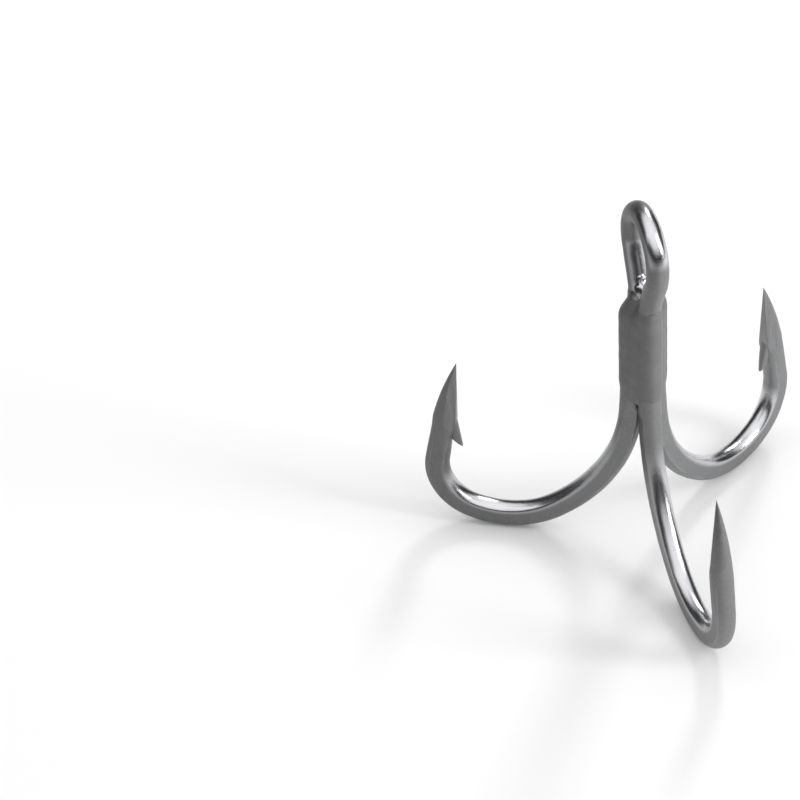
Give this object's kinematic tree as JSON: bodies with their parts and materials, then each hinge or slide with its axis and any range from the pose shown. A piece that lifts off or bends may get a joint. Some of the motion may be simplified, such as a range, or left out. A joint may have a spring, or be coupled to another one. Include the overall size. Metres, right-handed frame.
{
  "type": "treble hook",
  "caption": "Treble fishing hook with forged bends, barbed in-turned points, brazed shanks and a long open eye for a split ring.",
  "frame": {"origin": "centre of the round end of the eye, where a split ring pulls", "axes": "+Z along the shanks, from the bends to the eye; +Y through the eye; +X towards the bend of the eyed hook"},
  "size_m": [0.0371, 0.0415, 0.0444],
  "materials": {
    "plated_steel": "polished tin-grey plating on carbon steel wire, satin on the pressed flats",
    "braze": "matt, finely grained plating over brazing metal"
  },
  "bodies": {
    "root": {"eyed_hook": "plated_steel", "plain_hook_left": "plated_steel", "plain_hook_right": "plated_steel", "braze_sleeve": "braze", "eye_throat_braze": "braze"}
  },
  "joints": []
}
